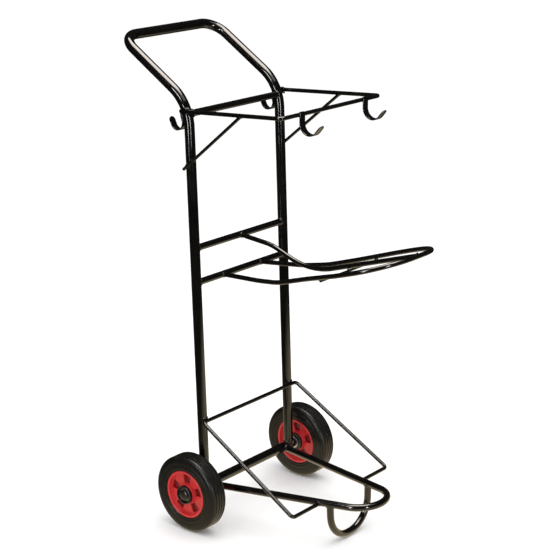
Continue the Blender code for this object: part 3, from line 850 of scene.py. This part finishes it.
def rim_rows():
    """Rows of the rim as (outwards, radius, share of the pockets' depth, face)."""
    inner, outer = POCKET_RADII
    collar = profile([(0.0215, 0.0243), (0.0215, 0.0268), (DISC_HALF, 0.0275), (DISC_HALF, 0.0284)],
                     [0.0008, 0.0006])
    steps = [(POCKET_EDGE * shift, share) for shift, share in EDGE_STEPS]
    rows = [(out, radius, 0.0) for out, radius in collar]
    rows += [(DISC_HALF, inner + shift, share) for shift, share in steps]
    rows += [(DISC_HALF, radius, 1.0) for radius in (0.036, 0.041, 0.046)]
    rows += [(DISC_HALF, outer - shift, share) for shift, share in reversed(steps)]
    corners = [
        (DISC_HALF, 0.0512), (DISC_HALF, 0.0523), (0.0176, 0.0529), (0.0176, 0.0548),
        (0.0236, 0.0560), (0.0236, 0.0620), (0.0193, 0.0620), (0.0193, 0.0560),
    ]
    lip = profile(corners, [0.0005, 0.0005, 0.0005, 0.0011, 0.0012, 0.0002])
    rows += [(out, radius, 0.0) for out, radius in lip]
    face = [(out, radius, share, 1) for out, radius, share in rows]
    return face + [(-out, radius, share, -1) for out, radius, share, _ in reversed(face)]


def pocket_columns(radius):
    """Angles round one pocket at a radius, each with its share of the pocket's depth."""
    inner, outer = POCKET_RADII
    share = min(1.0, max(0.0, (radius - inner) / (outer - inner)))
    half = POCKET_HALF_ANGLES[0] * (1 - share) + POCKET_HALF_ANGLES[1] * share
    sector = math.pi / POCKET_COUNT
    soft = POCKET_EDGE / radius
    columns = [(-sector + (sector - half - soft) * k / 4, 0.0) for k in range(4)]
    columns += [(-half + soft * s, depth) for s, depth in EDGE_STEPS]
    columns += [(-half + soft + (half - soft) * k / 3, 1.0) for k in (1, 2)]
    return columns + [(0.0, 1.0)] + [(-a, depth) for a, depth in reversed(columns[1:])]


def rim_mesh():
    mesh = bmesh.new()
    rings = []
    for out, radius, depth, face in rim_rows():
        ring = []
        for pocket in range(POCKET_COUNT):
            middle = POCKET_PHASE + 2 * math.pi * pocket / POCKET_COUNT
            for angle, share in pocket_columns(radius):
                sunk = (DISC_HALF - POCKET_FLOOR) * min(depth, share)
                a = middle + angle
                ring.append(mesh.verts.new((out - face * sunk, radius * math.cos(a), radius * math.sin(a))))
        rings.append(ring)
    for first, second in zip(rings, rings[1:] + rings[:1]):
        bridge(mesh, first, second)
    return mesh


def turned(points):
    mesh = bmesh.new()
    add_turning(mesh, points, WHEEL_SEGMENTS)
    return mesh


def ring_profile(start, end, inner, outer, soft=0.0004):
    corners = [(start, (inner + outer) / 2), (start, outer), (end, outer), (end, inner), (start, inner)]
    return profile(corners + corners[:1], [soft] * 4)[:-1]


def hub_profile():
    corners = [(-0.0295, 0.0180), (-0.0295, 0.0240), (0.0300, 0.0240), (0.0300, 0.0195), (0.0230, 0.0195)]
    corners += [(0.0230, HUB_BORE), (-0.0295, HUB_BORE), (-0.0295, 0.0180)]
    return profile(corners, [0.0018, 0.0018, 0.0009, 0.0010, 0.0004, 0.0004])[:-1]


def cap_profile():
    """A domed push-on cap with a brim, hollow over the axle's end."""
    mouth, brim = 0.0256, 0.0288
    rise, radius = 0.0050, 0.0140
    tip = 0.00005
    dome = []
    for degrees in range(0, 90, 6):
        a = math.radians(degrees)
        dome.append((brim + rise * math.sin(a), radius * math.cos(a)))
    socket = [(brim, tip), (brim, AXLE_RADIUS + GAP), (mouth, AXLE_RADIUS + GAP), (mouth, 0.0136)]
    return socket + [(0.0260, radius)] + dome + [(brim + rise, tip)]


def build_wheels():
    reach = AXLE.x + AXLE_END
    mesh = bmesh.new()
    add_turning(mesh, ring_profile(-reach, reach, 0.0001, AXLE_RADIUS, 0.00005), 64)
    make_piece("axle_shaft", mesh, STEEL, "frame", ["axle_rod"], Vector((0, AXLE.y, AXLE.z)))
    inner_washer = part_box("left_inner_washer")
    outer_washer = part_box("left_outer_washer")
    washers = {
        "inner": (inner_washer[0].x - AXLE.x, inner_washer[1].x - AXLE.x),
        "outer": (outer_washer[0].x - AXLE.x, outer_washer[1].x - AXLE.x),
    }
    bore = AXLE_RADIUS + GAP
    for word, side in SIDES.items():
        body = word + "_wheel"
        turn = 0.0 if side == LEFT else math.pi
        at = Vector((side * AXLE.x, AXLE.y, AXLE.z))
        make_piece(word + "_tyre_body", turned(tyre_profile()), RUBBER, body, [word + "_tyre"], at, turn, 30)
        make_piece(word + "_rim_body", rim_mesh(), RED, body, [word + "_rim"], at, turn, 50)
        make_piece(word + "_hub_body", turned(hub_profile()), BLACK, body, [word + "_hub"], at, turn, 30)
        bush = turned(ring_profile(*BUSH_ENDS, bore, BUSH_RADIUS))
        make_piece(word + "_bush_ring", bush, STEEL, body, [word + "_bearing_bush"], at, turn, 30)
        for which, (start, end) in washers.items():
            ring = turned(ring_profile(start, end, bore, WASHER_RADIUS, 0.0003))
            make_piece(f"{word}_{which}_ring", ring, STEEL, "frame", [f"{word}_{which}_washer"], at, turn, 30)
        cap = turned(cap_profile())
        make_piece(word + "_end_cap", cap, BLACK, "frame", [word + "_axle_cap"], at, turn, 30)


# ---------------------------------------------------------------- studio

LIT_PATCH = (0.35, -0.35)
LIT_REACH = (0.35, 1.45)  # the patch is full inside the first distance, and faded out at the second
LIT_STRENGTH = (1.5, 0.03)
LIT_COLOUR = (1.0, 0.84, 0.56, 1)
FLOOR_HALF = 60
FLOOR_DROP = 0.0005


def background(tree, colour, strength):
    node = tree.nodes.new("ShaderNodeBackground")
    node.inputs["Color"].default_value = (*colour, 1)
    node.inputs["Strength"].default_value = strength
    return node


def build_world():
    """White all round, but dim to glossy surfaces, so that black paint stays black between the lights."""
    world = bpy.data.worlds.new("studio")
    bpy.context.scene.world = world
    world.use_nodes = True
    tree = world.node_tree
    tree.nodes.clear()
    white = background(tree, (1.0, 1.0, 1.0), 1.10)
    dim = background(tree, (1.0, 0.93, 0.84), 0.03)
    path = tree.nodes.new("ShaderNodeLightPath")
    mix = tree.nodes.new("ShaderNodeMixShader")
    output = tree.nodes.new("ShaderNodeOutputWorld")
    tree.links.new(path.outputs["Is Glossy Ray"], mix.inputs["Fac"])
    tree.links.new(white.outputs["Background"], mix.inputs[1])
    tree.links.new(dim.outputs["Background"], mix.inputs[2])
    tree.links.new(mix.outputs["Shader"], output.inputs["Surface"])


def build_floor():
    """A plain floor, white to look at. The paint reflects it as a lit beige patch, dark farther out."""
    mesh = bmesh.new()
    bmesh.ops.create_grid(mesh, x_segments=8, y_segments=8, size=FLOOR_HALF)
    data = bpy.data.meshes.new("floor")
    mesh.to_mesh(data)
    mesh.free()
    floor = bpy.data.objects.new("floor", data)
    floor.location.z = cad_box[0].z - FLOOR_DROP
    bpy.context.scene.collection.objects.link(floor)
    material = bpy.data.materials.new("floor")
    material.use_nodes = True
    tree = material.node_tree
    shader = tree.nodes["Principled BSDF"]
    shader.inputs["Roughness"].default_value = 0.9
    shader.inputs["Specular IOR Level"].default_value = 0.0
    shader.inputs["Base Color"].default_value = (0.92, 0.92, 0.92, 1)
    coordinates = tree.nodes.new("ShaderNodeTexCoord")
    distance = tree.nodes.new("ShaderNodeVectorMath")
    distance.operation = "DISTANCE"
    distance.inputs[1].default_value = (*LIT_PATCH, 0)
    fade = tree.nodes.new("ShaderNodeMapRange")
    fade.interpolation_type = "SMOOTHSTEP"
    fade.inputs["From Min"].default_value = LIT_REACH[0]
    fade.inputs["From Max"].default_value = LIT_REACH[1]
    fade.inputs["To Min"].default_value = LIT_STRENGTH[0]
    fade.inputs["To Max"].default_value = LIT_STRENGTH[1]
    glow = tree.nodes.new("ShaderNodeEmission")
    glow.inputs["Color"].default_value = LIT_COLOUR
    path = tree.nodes.new("ShaderNodeLightPath")
    mix = tree.nodes.new("ShaderNodeMixShader")
    tree.links.new(coordinates.outputs["Object"], distance.inputs[0])
    tree.links.new(distance.outputs["Value"], fade.inputs["Value"])
    tree.links.new(fade.outputs["Result"], glow.inputs["Strength"])
    tree.links.new(path.outputs["Is Glossy Ray"], mix.inputs["Fac"])
    tree.links.new(shader.outputs["BSDF"], mix.inputs[1])
    tree.links.new(glow.outputs["Emission"], mix.inputs[2])
    tree.links.new(mix.outputs["Shader"], tree.nodes["Material Output"].inputs["Surface"])
    data.materials.append(material)


def softbox(name, location, target, size, power, colour=(1, 1, 1), glossy_only=False):
    data = bpy.data.lights.new(name, "AREA")
    data.shape = "RECTANGLE"
    data.size, data.size_y = size
    data.energy = power
    data.color = colour
    light = bpy.data.objects.new(name, data)
    light.location = location
    light.rotation_mode = "QUATERNION"
    light.rotation_quaternion = (Vector(target) - Vector(location)).to_track_quat("-Z", "Y")
    light.visible_camera = False
    light.visible_diffuse = not glossy_only
    bpy.context.scene.collection.objects.link(light)


def build_lights():
    centre = (cad_box[0] + cad_box[1]) / 2
    warm = (1.0, 0.90, 0.80)
    softbox("overhead_bank", (0.15, 0.15, 3.3), (0.1, 0.1, 0), (2.0, 1.8), 160, warm, glossy_only=True)
    softbox("side_strip", (-4.0, -0.5, 1.3), (0, -0.5, 1.3), (0.5, 2.0), 80, glossy_only=True)
    softbox("front_strip", (-1.8, -4.0, 1.3), (-0.4, 0, 1.3), (0.5, 2.0), 80, glossy_only=True)
    softbox("side_bank", (-3.0, 0.2, 2.75), (-0.2, 0, 0.3), (1.4, 0.35), 45, glossy_only=True)
    softbox("overhead_fill", (0.0, -0.6, 3.8), centre, (3.0, 3.0), 60, (1.0, 0.98, 0.95))


def build_camera():
    azimuth, elevation, roll = math.radians(-49.37), math.radians(16.88), math.radians(-1.0)
    back = Vector((math.sin(azimuth) * math.cos(elevation), -math.cos(azimuth) * math.cos(elevation),
                   math.sin(elevation)))
    data = bpy.data.cameras.new("camera")
    data.sensor_width = 36
    data.lens = 98.0
    camera = bpy.data.objects.new("camera", data)
    camera.location = (-2.731, -2.3077, 1.7268)
    camera.rotation_mode = "QUATERNION"
    camera.rotation_quaternion = (-back).to_track_quat("-Z", "Y") @ Quaternion((0, 0, 1), roll)
    bpy.context.scene.collection.objects.link(camera)
    bpy.context.scene.camera = camera


build_posts()
build_rack()
build_hooks()
build_cradle()
build_base()
build_wheels()
build_world()
build_floor()
build_lights()
build_camera()
bpy.context.scene.view_settings.view_transform = "Standard"
